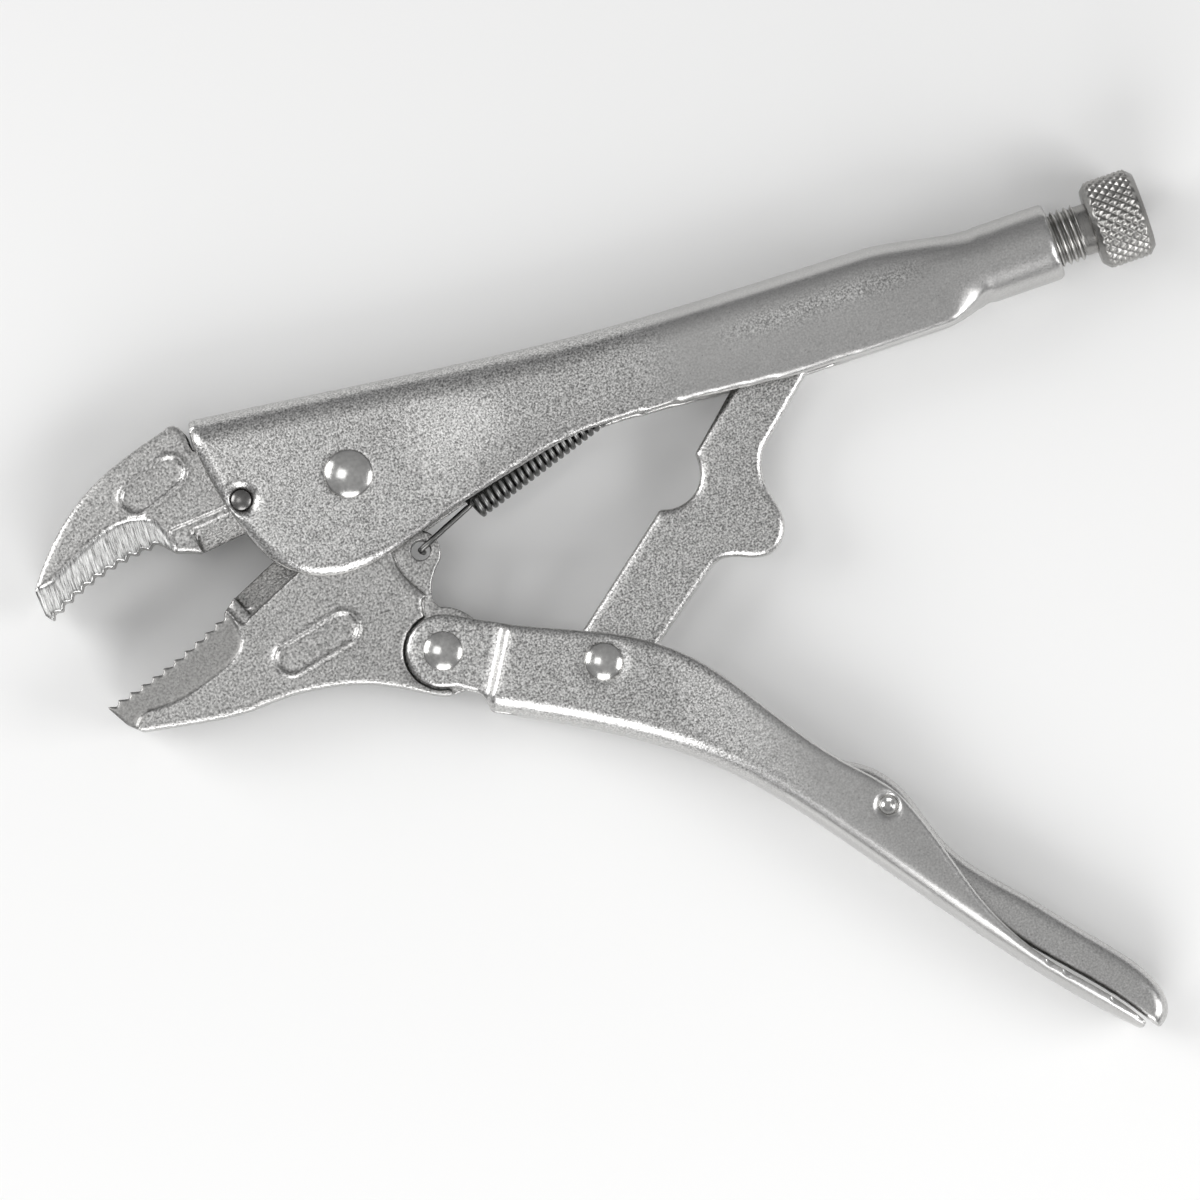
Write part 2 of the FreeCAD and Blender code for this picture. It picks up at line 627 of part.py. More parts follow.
def cross_pin(name, at, radius, half):
    """A plain pin, flush with both sheet faces, with broken edges."""
    edge = 0.2
    turned(name, name,
           [(0, -half), ("to", (radius - edge, -half)), ("to", (radius, edge - half)),
            ("to", (radius, half - edge)), ("to", (radius - edge, half)), ("to", (0, half))], at)


def cross_pins():
    outside = size("channel_outside") / 2
    cross_pin("fixed_jaw_pin", JAW_PIN, size("jaw_pin_radius"), outside)
    cross_pin("release_lever_pin", LEVER_PIN, size("lever_pin_radius"), outside)
    cross_pin("spring_anchor_pin", ANCHOR, size("anchor_radius"), outside)


def toggle_spacers():
    """Two collars on the toggle rivet, one on each side of the link."""
    inner = size("link_thickness") / 2 + size("spacer_gap")
    height = size("channel_inside") / 2 - inner
    collars = []
    for side, base in (("near", inner), ("far", -inner - height)):
        outer = doc.addObject("Part::Cylinder", "spacer_outer_" + side)
        outer.setExpression("Radius", "sizes.spacer_radius")
        bore = doc.addObject("Part::Cylinder", "spacer_bore_" + side)
        bore.setExpression("Radius", "sizes.toggle_rivet_radius")
        for solid in (outer, bore):
            solid.Height = height
            solid.Placement.Base.z = base
        collar = doc.addObject("Part::Cut", "spacer_" + side)
        collar.Base = outer
        collar.Tool = bore
        collars.append(collar)
    pair = doc.addObject("Part::Compound", "toggle_spacers_pair")
    pair.Links = collars
    doc.recompute()
    put(pair, "toggle_spacers", TOGGLE_RIVET)


def adjusting_screw():
    axis = Vector(0, size("screw_axis_y"), 0)
    along_x = Rotation(Vector(0, 1, 0), 90)
    r = size("screw_radius")
    start = size("nose_x")
    end = size("knob_start_x")
    bevel = size("nose_chamfer")
    turned("adjusting_screw", "adjusting_screw",
           [(0, start), ("to", (r - bevel, start)), ("to", (r, start + bevel)), ("to", (r, end)),
            ("to", (0, end))], axis, along_x)
    c = size("knob_chamfer")
    out = size("knob_radius")
    tip = end + size("knob_length")
    turned("adjusting_knob", "adjusting_knob",
           [(0, end), ("to", (out - c, end)), ("to", (out, end + c)), ("to", (out, tip - c)),
            ("to", (out - c, tip)), ("to", (0, tip))], axis, along_x)


# ---------------------------------------------------------------- tension spring

def rod(name, start, end, radius_formula):
    """A Part cylinder between two points."""
    solid = doc.addObject("Part::Cylinder", name)
    solid.setExpression("Radius", radius_formula)
    solid.Height = (end - start).Length
    solid.Placement = Placement(start, Rotation(Vector(0, 0, 1), end - start))
    return solid


def tension_spring():
    """The coil is a tube with the wire's thickness; a hook leaves each end."""
    angle = math.radians(size("coil_angle"))
    along = Vector(math.cos(angle), math.sin(angle), 0)
    front = Vector(size("coil_x"), size("coil_y"), 0)
    rear = front + along * size("coil_length")
    mean = size("coil_radius") - size("wire_radius")
    coil = doc.addObject("Part::Cut", "spring_coil")
    coil.Base = rod("coil_outer", front, rear, "sizes.coil_radius")
    coil.Tool = rod("coil_inner", front, rear, "sizes.coil_radius - 2 * sizes.wire_radius")
    wire = "sizes.wire_radius"
    side = Vector(0, 0, size("hook_height"))
    near = Vector(0, 0, mean)
    knee = EYE + side
    tuck = along * 0.6
    lift = Vector(0, size("anchor_radius") + size("wire_radius") + size("anchor_play"), 0)
    wires = [rod("front_wire", front + near + tuck, knee, wire),
             rod("front_hook", knee, EYE, wire),
             rod("rear_riser", rear - tuck + Vector(0, mean, 0), ANCHOR + lift, wire)]
    ball = doc.addObject("Part::Sphere", "front_knee")
    ball.setExpression("Radius", wire)
    ball.Placement.Base = knee
    spring = doc.addObject("Part::MultiFuse", "spring")
    spring.Shapes = [coil, ball] + wires
    doc.recompute()
    put(spring, "tension_spring")


# ---------------------------------------------------------------- build, check, export

for build in (fixed_handle, fixed_jaw, moving_jaw, lower_handle, toggle_link, release_lever,
              rivets, cross_pins, toggle_spacers, adjusting_screw, tension_spring):
    build()
doc.recompute()

for obj in doc.Objects:
    if "Invalid" in obj.State or "Error" in obj.State:
        raise RuntimeError("%s failed: %s" % (obj.Name, obj.State))
os.makedirs("parts", exist_ok=True)
whole = FreeCAD.BoundBox()
for obj in SUB_PARTS:
    if obj.Shape.isNull() or not obj.Shape.isValid():
        raise RuntimeError(obj.Label + " has no valid shape")
    obj.Shape.exportStep("parts/%s.step" % obj.Label)
    whole.add(obj.Shape.BoundBox)
    print("%-20s %9.1f mm3  %d solid(s)" % (obj.Label, obj.Shape.Volume, len(obj.Shape.Solids)))
print("whole tool: X %.2f %.2f  Y %.2f %.2f  Z %.2f %.2f" % (
    whole.XMin, whole.XMax, whole.YMin, whole.YMax, whole.ZMin, whole.ZMax))
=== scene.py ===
import json
import math

import bmesh
import bpy
import numpy as np
from bpy.props import FloatProperty, FloatVectorProperty, IntProperty, PointerProperty
from mathutils import Matrix, Vector
from mathutils.kdtree import KDTree


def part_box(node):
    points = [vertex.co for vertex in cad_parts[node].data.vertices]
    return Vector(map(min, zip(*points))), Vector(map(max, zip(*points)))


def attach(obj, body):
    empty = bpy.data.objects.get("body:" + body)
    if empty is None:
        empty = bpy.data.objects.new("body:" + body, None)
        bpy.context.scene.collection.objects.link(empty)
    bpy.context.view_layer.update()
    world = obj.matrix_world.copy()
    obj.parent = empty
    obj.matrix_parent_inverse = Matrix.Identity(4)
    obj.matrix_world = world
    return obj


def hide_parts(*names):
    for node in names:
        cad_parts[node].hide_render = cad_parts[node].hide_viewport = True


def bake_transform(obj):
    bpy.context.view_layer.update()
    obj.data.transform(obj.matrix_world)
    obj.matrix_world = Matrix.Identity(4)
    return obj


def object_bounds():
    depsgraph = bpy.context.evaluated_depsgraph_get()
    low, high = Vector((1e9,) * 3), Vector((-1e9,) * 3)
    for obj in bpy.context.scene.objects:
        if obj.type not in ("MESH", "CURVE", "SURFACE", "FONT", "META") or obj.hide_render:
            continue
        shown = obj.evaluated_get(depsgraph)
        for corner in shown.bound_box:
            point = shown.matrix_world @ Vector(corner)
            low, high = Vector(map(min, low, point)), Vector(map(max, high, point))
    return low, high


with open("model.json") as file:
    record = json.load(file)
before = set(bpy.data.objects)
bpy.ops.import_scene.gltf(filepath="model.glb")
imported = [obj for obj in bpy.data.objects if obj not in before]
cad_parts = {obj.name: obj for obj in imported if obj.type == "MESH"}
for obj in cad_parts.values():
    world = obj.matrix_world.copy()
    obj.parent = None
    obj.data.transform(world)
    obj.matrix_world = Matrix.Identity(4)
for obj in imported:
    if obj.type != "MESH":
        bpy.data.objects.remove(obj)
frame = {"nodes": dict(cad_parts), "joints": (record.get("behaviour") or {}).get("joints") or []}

bl_info = {
    "name": "Locking Pliers",
    "version": (1, 0, 0),
    "blender": (4, 5, 0),
    "location": "3D View > Sidebar > Pliers",
    "description": "Builds the plated skins, turned parts and spring of a pair of locking pliers",
    "category": "Object",
}

CAD_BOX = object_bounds()
MM = 0.001


def joint_place(name):
    """Where a joint's axis stands, in the row frame."""
    joint = [entry for entry in frame["joints"] if entry["name"] == name][0]
    return Vector(joint["pos_m"])


PIVOT = joint_place("jaw_pivot")


def at(x, y, z=0.0):
    """A point given in millimetres from the main pivot, in the row frame."""
    return PIVOT + Vector((x, y, z)) * MM


def box_of(node):
    """A node's lowest and highest corners, in millimetres from the main pivot."""
    low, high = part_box(node)
    return (low - PIVOT) / MM, (high - PIVOT) / MM


def middle_of(node):
    low, high = box_of(node)
    return (low + high) / 2


# Outlines, in millimetres from the main pivot.
FIXED_GROUND = [(-75, -2), (-67.3, -0.7), (-63.4, 1.4), (-55.8, 4.8), (-50.9, 6.2), (-45.7, 6.0),
                (-42.6, 4.4), (-41.1, 1.6), (-40.5, -4.6), (-40.5, -13), (-75, -13)]
MOVING_GROUND = [(-34.2, -18.2), (-33.0, -23.0), (-33.4, -27.2), (-35.2, -29.0), (-41.6, -31.7),
                 (-48.0, -33.6), (-56.8, -33.9), (-60.2, -36.6), (-70, -38), (-70, -16), (-38, -16)]
FIXED_PILL = ((-40.3, 11.5), 8.0, 3.4, 20.0)
MOVING_PILL = ((-18.2, -31.8), 9.8, 3.5, 12.0)
COIL_FRONT = (22.4, -14.6)
COIL_ANGLE = math.radians(17.8)
COIL_LENGTH = 46.0
SPRING_EYE = (9.1, -20.3)
HOOK_HEIGHT = 5.4
# Cuts in a flank no deeper than this leave its rim as it is.
LEDGE = 0.9
# How far the flanks stand from the mid-plane.
HANDLE_LEVEL = 8.5
EAR_LEVEL = 6.5
LEVER_LEVEL = 5.4
# How far below a flank its edge wall is looked for, deepest and shallowest: for the painted
# highlight along the rims of every skin, and for the release lever's rim.
RIM_BAND = (1.3, 0.4)
# The rolled barrel's radius, and where along X the channel in front of it ends.
BARREL_RADIUS = 8.4
CHANNEL_END = 143.0
# The plugs that close the spring anchor's holes in both flanks: their radius and their heights.
ANCHOR_PLUG = 1.6
ANCHOR_PLUG_HEIGHTS = ((6.6, 8.5), (-8.5, -6.6))
KNOB_CHAMFER = 1.6


# ---------------------------------------------------------------- what a user would change

class PlierSizes(bpy.types.PropertyGroup):
    sheet_skin: FloatProperty(
        name="Sheet skin", description="Mesh size on the pressed sheet parts",
        default=0.00055, unit="LENGTH", precision=5)
    forging_skin: FloatProperty(
        name="Forging skin", description="Mesh size on the two jaws",
        default=0.00035, unit="LENGTH", precision=5)
    flare: FloatProperty(
        name="Flare", description="How far the fixed handle's flanks swell behind the cheeks",
        default=0.0013, unit="LENGTH", precision=5)
    lower_swell: FloatProperty(
        name="Lower swell", description="How far the lower handle's flanks swell at mid length",
        default=0.0013, unit="LENGTH", precision=5)
    bevel_width: FloatProperty(
        name="Bevel width", description="Width of the bevel along the cheeks' front edge",
        default=0.002, unit="LENGTH", precision=5)
    bevel_drop: FloatProperty(
        name="Bevel drop", description="Depth of that bevel at the edge",
        default=0.0009, unit="LENGTH", precision=5)
    thread_pitch: FloatProperty(
        name="Thread pitch", description="Pitch of the adjusting screw's thread",
        default=0.0015, unit="LENGTH", precision=5)
    thread_depth: FloatProperty(
        name="Thread depth", description="Depth of the thread",
        default=0.0008, unit="LENGTH", precision=5)
    collar_length: FloatProperty(
        name="Collar length", description="Plain length between the thread and the knob",
        default=0.0026, unit="LENGTH", precision=5)
    knurl_depth: FloatProperty(
        name="Knurl depth", description="Depth of the knob's diamond knurl",
        default=0.0006, unit="LENGTH", precision=5)
    knurl_count: IntProperty(
        name="Knurl count", description="Diamonds round the knob", default=26, min=8)
    wire: FloatProperty(
        name="Spring wire", description="Radius of the spring's wire",
        default=0.00062, unit="LENGTH", precision=5)
    coil: FloatProperty(
        name="Spring coil", description="Outer radius of the spring's coil",
        default=0.00375, unit="LENGTH", precision=5)
    coil_turns: IntProperty(
        name="Spring turns", description="Turns of the coil", default=29, min=4)


class PlierColours(bpy.types.PropertyGroup):
    plate: FloatVectorProperty(
        name="Plate", description="Satin plate on the pressed parts",
        subtype="COLOR", size=3, default=(0.66, 0.655, 0.645))
    forging: FloatVectorProperty(
        name="Forging", description="Plate over the forged jaws",
        subtype="COLOR", size=3, default=(0.56, 0.555, 0.545))
    ground: FloatVectorProperty(
        name="Ground steel", description="Freshly ground faces beside the teeth",
        subtype="COLOR", size=3, default=(0.70, 0.70, 0.69))
    tooth: FloatVectorProperty(
        name="Tooth", description="The cut teeth", subtype="COLOR", size=3,
        default=(0.42, 0.415, 0.405))
    rivet: FloatVectorProperty(
        name="Rivet", description="Polished heads", subtype="COLOR", size=3,
        default=(0.70, 0.695, 0.68))
    pin: FloatVectorProperty(
        name="Pin", description="The jaw's dark pressed-in pin", subtype="COLOR", size=3,
        default=(0.26, 0.255, 0.25))
    screw: FloatVectorProperty(
        name="Screw", description="Turned and knurled steel", subtype="COLOR", size=3,
        default=(0.60, 0.59, 0.57))
    wire: FloatVectorProperty(
        name="Wire", description="Spring wire", subtype="COLOR", size=3,
        default=(0.24, 0.24, 0.235))
    floor: FloatVectorProperty(
        name="Floor", description="The pale floor", subtype="COLOR", size=3,
        default=(0.93, 0.93, 0.925))


# ---------------------------------------------------------------- materials

def metal(name, tint, rough, relief, grain_size, contrast, stretch=(1, 1, 1), skin=False):
    """Steel with a fine grain in its colour, roughness and relief.

    With skin, the grain's strength and the edge attribute's painted rim highlight and painted groove
    shade come from the mesh's own attributes.
    """
    # No finish is named after a packed slot, because the slots' plain materials are already there.
    found = bpy.data.materials.get(name)
    if found:
        return found
    material = bpy.data.materials.new(name)
    material.use_nodes = True
    nodes = material.node_tree.nodes
    link = material.node_tree.links.new
    shader = nodes["Principled BSDF"]
    shader.inputs["Metallic"].default_value = 1.0
    coords = nodes.new("ShaderNodeTexCoord")
    mapping = nodes.new("ShaderNodeMapping")
    mapping.inputs["Scale"].default_value = stretch
    link(coords.outputs["Object"], mapping.inputs["Vector"])

    def noise(scale, detail):
        node = nodes.new("ShaderNodeTexNoise")
        node.inputs["Scale"].default_value = scale
        node.inputs["Detail"].default_value = detail
        link(mapping.outputs["Vector"], node.inputs["Vector"])
        return node.outputs["Fac"]

    def arithmetic(kind, first, second):
        node = nodes.new("ShaderNodeMath")
        node.operation = kind
        for socket, value in zip(node.inputs, (first, second)):
            if isinstance(value, (int, float)):
                socket.default_value = value
            else:
                link(value, socket)
        return node.outputs[0]

    grain = noise(1.0 / grain_size, 2.0)
    cloud = noise(70.0, 3.0)
    wave = arithmetic("SUBTRACT", grain, 0.5)
    if skin:
        mask = nodes.new("ShaderNodeAttribute")
        mask.attribute_name = "grain"
        edge = nodes.new("ShaderNodeAttribute")
        edge.attribute_name = "edge"
        wave = arithmetic("MULTIPLY", wave, mask.outputs["Fac"])
    shade = arithmetic("MULTIPLY_ADD", wave, contrast)
    shade.node.inputs[2].default_value = 0.45
    drift = arithmetic("MULTIPLY_ADD", cloud, 0.12)
    link(shade, drift.node.inputs[2])
    if skin:
        # The edge attribute lifts the colour towards the rims, a painted highlight; negative values on
        # the screw darken its grooves, painted shade.
        painted_rim_highlight_and_groove_shade = arithmetic("MULTIPLY_ADD", edge.outputs["Fac"], 0.14)
        link(drift, painted_rim_highlight_and_groove_shade.node.inputs[2])
        drift = painted_rim_highlight_and_groove_shade
    ramp = nodes.new("ShaderNodeValToRGB")
    ramp.color_ramp.elements[0].color = [c * 0.32 for c in tint] + [1]
    ramp.color_ramp.elements[1].color = [min(1.0, c * 1.38) for c in tint] + [1]
    link(drift, ramp.inputs["Fac"])
    link(ramp.outputs["Color"], shader.inputs["Base Color"])

    spread = nodes.new("ShaderNodeMapRange")
    spread.inputs["To Min"].default_value = rough - 0.07
    spread.inputs["To Max"].default_value = rough + 0.11
    link(grain, spread.inputs["Value"])
    link(spread.outputs["Result"], shader.inputs["Roughness"])
    bump = nodes.new("ShaderNodeBump")
    bump.inputs["Distance"].default_value = relief
    bump.inputs["Strength"].default_value = 1.0
    link(grain, bump.inputs["Height"])
    if skin:
        link(mask.outputs["Fac"], bump.inputs["Strength"])
    link(bump.outputs["Normal"], shader.inputs["Normal"])
    return material


def plated():
    tint = bpy.context.scene.plier_colours.plate
    return metal("plated_finish", tint, 0.30, 0.00006, 0.00042, 2.8, skin=True)


def forged():
    tint = bpy.context.scene.plier_colours.forging
    return metal("forged_finish", tint, 0.34, 0.00008, 0.00050, 2.2, skin=True)


def ground():
    tint = bpy.context.scene.plier_colours.ground
    return metal("ground_face", tint, 0.26, 0.00003, 0.0006, 2.4, stretch=(2.4, 0.25, 1.0))


def cut_teeth():
    tint = bpy.context.scene.plier_colours.tooth
    return metal("tooth_finish", tint, 0.36, 0.00004, 0.0005, 1.1)


def polished():
    tint = bpy.context.scene.plier_colours.rivet
    return metal("polished_head", tint, 0.17, 0.000008, 0.0009, 0.35)


def dark_pin():
    tint = bpy.context.scene.plier_colours.pin
    return metal("dark_pin", tint, 0.24, 0.000008, 0.0009, 0.35)


def turned_steel():
    tint = bpy.context.scene.plier_colours.screw
    return metal("turned_finish", tint, 0.28, 0.00001, 0.0005, 0.8, stretch=(3.0, 0.6, 0.6),
                 skin=True)


def spring_wire():
    tint = bpy.context.scene.plier_colours.wire
    return metal("wire_finish", tint, 0.30, 0.00001, 0.0006, 0.5)


# ---------------------------------------------------------------- mesh helpers

def add_piece(name, mesh):
    piece = bpy.data.objects.new(name, mesh)
    bpy.context.scene.collection.objects.link(piece)
    return piece


def settle(piece):
    """Make the modifiers' result the piece's own mesh."""
    graph = bpy.context.evaluated_depsgraph_get()
    mesh = bpy.data.meshes.new_from_object(piece.evaluated_get(graph))
    old = piece.data
    piece.modifiers.clear()
    piece.data = mesh
    bpy.data.meshes.remove(old)


def points_of(piece):
    """The piece's vertices, in millimetres from the main pivot."""
    flat = np.empty(len(piece.data.vertices) * 3, np.float64)
    piece.data.vertices.foreach_get("co", flat)
    return (flat.reshape(-1, 3) - np.array(PIVOT)) / MM


def set_points(piece, points):
    flat = (points * MM + np.array(PIVOT)).ravel()
    piece.data.vertices.foreach_set("co", flat)
    piece.data.update()


def normals_of(piece):
    flat = np.empty(len(piece.data.vertices) * 3, np.float64)
    piece.data.vertices.foreach_get("normal", flat)
    return flat.reshape(-1, 3)


def step(low, high, value):
    """0 below low, 1 above high and a smooth rise between."""
    t = np.clip((value - low) / (high - low), 0.0, 1.0)
    return t * t * (3.0 - 2.0 * t)


def even_skin(piece, voxel, passes):
    """Rebuild the piece's surface as small even faces with softened edges."""
    remesh = piece.modifiers.new("even_skin", "REMESH")
    remesh.mode = "VOXEL"
    remesh.voxel_size = voxel
    smooth = piece.modifiers.new("soft_edges", "SMOOTH")
    smooth.factor = 0.5
    smooth.iterations = passes
    settle(piece)


def tumble(piece, factor, passes):
    """Smooth what was just sculpted, as tumbling in a barrel does."""
    smooth = piece.modifiers.new("tumbled", "SMOOTH")
    smooth.factor = factor
    smooth.iterations = passes
    settle(piece)


def skin_from(name, node, voxel, passes, plugs=()):
    """A new piece grown from a CAD node's own shape. Plugs close (centre, radius, z, z) holes."""
    builder = bmesh.new()
    builder.from_mesh(frame["nodes"][node].data)
    bmesh.ops.remove_doubles(builder, verts=builder.verts, dist=1e-6)
    for centre, radius, low, high in plugs:
        place = Matrix.Translation(at(centre[0], centre[1], (low + high) / 2))
        bmesh.ops.create_cone(builder, cap_ends=True, segments=32, radius1=radius * MM,
                              radius2=radius * MM, depth=(high - low) * MM, matrix=place)
    mesh = bpy.data.meshes.new(name)
    builder.to_mesh(mesh)
    builder.free()
    piece = add_piece(name, mesh)
    even_skin(piece, voxel, passes)
    return piece


def rim_distance(points, normals, level, depth=2.0, ledge=LEDGE):
    """Each flank vertex's distance to the nearest edge wall, in the plane; far ones get 99."""
    height = np.abs(points[:, 2])
    wall = points[(np.abs(normals[:, 2]) < 0.5) & (height > level - depth)
                  & (height < level - ledge)]
    tree = KDTree(len(wall))
    for index, (x, y, _z) in enumerate(wall):
        tree.insert((x, y, 0.0), index)
    tree.balance()
    distance = np.full(len(points), 99.0)
    for index in np.nonzero(height > level - depth)[0]:
        x, y, _z = points[index]
        distance[index] = tree.find((x, y, 0.0))[2]
    return distance


def soften_rim(points, distance, width, drop):
    """Slope the flanks down towards their edges, like a pressed or tumbled edge."""
    amount = drop * np.clip(1.0 - distance / width, 0.0, 1.0)
    points[:, 2] -= np.sign(points[:, 2]) * amount


def sink_round(points, centre, radius, depth, level, soft=0.5):
    """A shallow round recess in both flanks."""
    away = np.hypot(points[:, 0] - centre[0], points[:, 1] - centre[1])
    amount = depth * (1.0 - step(radius - soft, radius + soft, away))
    amount[np.abs(points[:, 2]) < level - 1.6] = 0.0
    points[:, 2] -= np.sign(points[:, 2]) * amount


def inside(outline, points):
    """Which points lie inside a closed outline, in the plane."""
    x, y = points[:, 0], points[:, 1]
    found = np.zeros(len(points), bool)
    for (ax, ay), (bx, by) in zip(outline, outline[1:] + outline[:1]):
        if ay == by:
            continue
        crosses = (ay > y) != (by > y)
        found ^= crosses & (x < (bx - ax) * (y - ay) / (by - ay) + ax)
    return found


def set_attribute(piece, name, values):
    mesh = piece.data
    layer = mesh.attributes.get(name) or mesh.attributes.new(name, "FLOAT", "POINT")
    layer.data.foreach_set("value", np.asarray(values, np.float32))


def finish_skin(piece, body, node, slot, level, grain, materials):
    """Write the grain attribute and the edge attribute, a painted highlight along the rims, and hand the
    piece to its body.
    """
    points, normals = points_of(piece), normals_of(piece)
    distance = rim_distance(points, normals, level, *RIM_BAND)
    set_attribute(piece, "grain", grain(points, normals))
    # Painted highlight: the colour gets lighter within 1.1 mm of a rim.
    set_attribute(piece, "edge", np.clip(1.0 - distance / 1.1, 0.0, 1.0))
    hand_over(piece, body, slot, materials, node)


def hand_over(piece, body, slot, materials, *nodes):
    for material in materials:
        piece.data.materials.append(material)
    piece.data.polygons.foreach_set("use_smooth", [True] * len(piece.data.polygons))
    piece.data.update()
    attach(piece, body)
    if nodes:
        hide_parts(*nodes)


def mesh_from(name, vertices, faces):
    mesh = bpy.data.meshes.new(name)
    mesh.from_pydata([tuple(v) for v in vertices], [], faces)
    mesh.update()
    return mesh


def ring_mesh(name, rings):
    """A closed skin over rings of points; the first and last rings are capped."""
    count = len(rings[0])
    vertices = [point for ring in rings for point in ring]
    faces = []
    for row in range(len(rings) - 1):
        for k in range(count):
            a, b = row * count + k, row * count + (k + 1) % count
            faces.append((a, b, b + count, a + count))
    faces.append(tuple(reversed(range(count))))
    faces.append(tuple((len(rings) - 1) * count + k for k in range(count)))
    return mesh_from(name, vertices, faces)


def turned(name, profile, centre, count=72):
    """A turned piece about Z. profile is (radius, height) from the bottom up, in millimetres."""
    rings = []
    for radius, height in profile:
        rings.append([at(centre[0] + radius * math.cos(2 * math.pi * k / count),
                         centre[1] + radius * math.sin(2 * math.pi * k / count), height)
                      for k in range(count)])
    return add_piece(name, ring_mesh(name, rings))


def round_bar(name, start, end, radius_at, axis, rows, count):
    """A bar along X whose radius is radius_at(x, angle), in millimetres."""
    rings = []
    for row in range(rows + 1):
        x = start + (end - start) * row / rows
        ring = []
        for k in range(count):
            angle = 2 * math.pi * k / count
            radius = radius_at(x, angle)
            ring.append(at(x, axis.y + radius * math.cos(angle), axis.z + radius * math.sin(angle)))
        rings.append(ring)
    return add_piece(name, ring_mesh(name, rings))


def tube(name, path, radius, sides=10):
    """A round wire along a list of points, in millimetres."""
    path = [Vector(point) for point in path]
    side = Vector((0, 0, 1))
    rings = []
    for index, here in enumerate(path):
        ahead = path[min(index + 1, len(path) - 1)] - path[max(index - 1, 0)]
        ahead.normalize()
        side = (side - ahead * side.dot(ahead)).normalized()
        up = ahead.cross(side)
        ring = []
        for k in range(sides):
            turn = 2 * math.pi * k / sides
            offset = side * math.cos(turn) + up * math.sin(turn)
            ring.append(at(*(here + offset * radius)))
        rings.append(ring)
    return add_piece(name, ring_mesh(name, rings))


# ---------------------------------------------------------------- pressed parts

def neck_down(points, axis, barrel_radius, face):
    """Draw the channel's outside in to the barrel's round section in front of its end face."""
    dy, dz = points[:, 1] - axis.y, points[:, 2] - axis.z
    angle, radius = np.arctan2(dz, dy), np.hypot(dy, dz)
    above = step(-3.0, 3.0, dy)
    start = face - 12.0 - 13.0 * above
    bins = 72
    near = (points[:, 0] > face - 12.0) & (points[:, 0] < face - 2.0)
    index = ((angle[near] + math.pi) / (2 * math.pi) * bins).astype(int) % bins
    reach = np.full(bins, barrel_radius)
    np.maximum.at(reach, index, radius[near])
    places = (np.arange(bins) + 0.5) / bins * 2 * math.pi - math.pi
    outside = np.interp(angle, places, reach, period=2 * math.pi)
    pull = step(start, face, points[:, 0]) * step(6.4, 8.0, radius)
    pull[points[:, 0] > face + 0.9] = 0.0
    scale = 1.0 + pull * (barrel_radius / outside - 1.0)
    on_face = (np.abs(points[:, 0] - face) < 0.9) & (radius > barrel_radius - 0.3)
    scale[on_face] = barrel_radius / radius[on_face]
    points[:, 1] = axis.y + dy * scale
    points[:, 2] = axis.z + dz * scale


class PLIERS_OT_fixed_handle(bpy.types.Operator):
    """Press the fixed handle: flat cheeks, swelling flanks and a barrel drawn round the screw"""
    bl_idname = "pliers.fixed_handle"
    bl_label = "Fixed handle"

    def execute(self, context):
        sizes = context.scene.plier_sizes
        level = HANDLE_LEVEL
        anchor = middle_of("spring_anchor_pin")
        plugs = [((anchor.x, anchor.y), ANCHOR_PLUG, *heights) for heights in ANCHOR_PLUG_HEIGHTS]
        piece = skin_from("fixed_handle_shell", "fixed_handle", sizes.sheet_skin * 1.3, 1, plugs)
        points = points_of(piece)
        axis = middle_of("adjusting_screw")
        neck_down(points, axis, BARREL_RADIUS, CHANNEL_END)
        x, y, z = points.T
        along = step(12.0, 38.0, x) * (1.0 - step(116.0, 134.0, x))
        across = 1.0 - 0.75 * np.clip(y / 11.0, -1.0, 1.0) ** 2
        points[:, 2] += np.sign(z) * sizes.flare / MM * along * across * step(3.0, 7.5, np.abs(z))
        set_points(piece, points)
        even_skin(piece, sizes.sheet_skin, 3)

        points, normals = points_of(piece), normals_of(piece)
        distance = rim_distance(points, normals, level)
        front = 1.0 - step(-6.0, 6.0, points[:, 0])
        soften_rim(points, distance, 1.1 + front * (sizes.bevel_width / MM - 1.1),
                   0.4 + front * (sizes.bevel_drop / MM - 0.4))
        pin = middle_of("fixed_jaw_pin")
        sink_round(points, pin, 2.7, 0.35, level, 0.9)
        x, y, z = points.T
        crease = np.exp(-((x - CHANNEL_END - 0.3 * (y - axis.y)) / 1.8) ** 2) * step(-1.0, 4.0, y)
        points[:, 2] -= np.where(z > 4.0, 0.25 * crease, 0.0)
        set_points(piece, points)
        tumble(piece, 0.5, 3)

        def grain(points, normals):
            x, y = points[:, 0], points[:, 1]
            # Painted reflection: a band of stronger speckle along the flank's middle, from X 80 to 134.
            painted_reflection_streak = np.exp(-((y - 1.5) / 2.2) ** 2) * step(80, 95, x) * (1 - step(122, 134, x))
            rear = step(60.0, 78.0, x)
            return (1.0 - 0.82 * rear) * (0.35 + 0.65 * np.abs(normals[:, 2])) + 0.6 * painted_reflection_streak
        finish_skin(piece, "root", "fixed_handle", "plated_sheet", level, grain, [plated()])
        return {"FINISHED"}


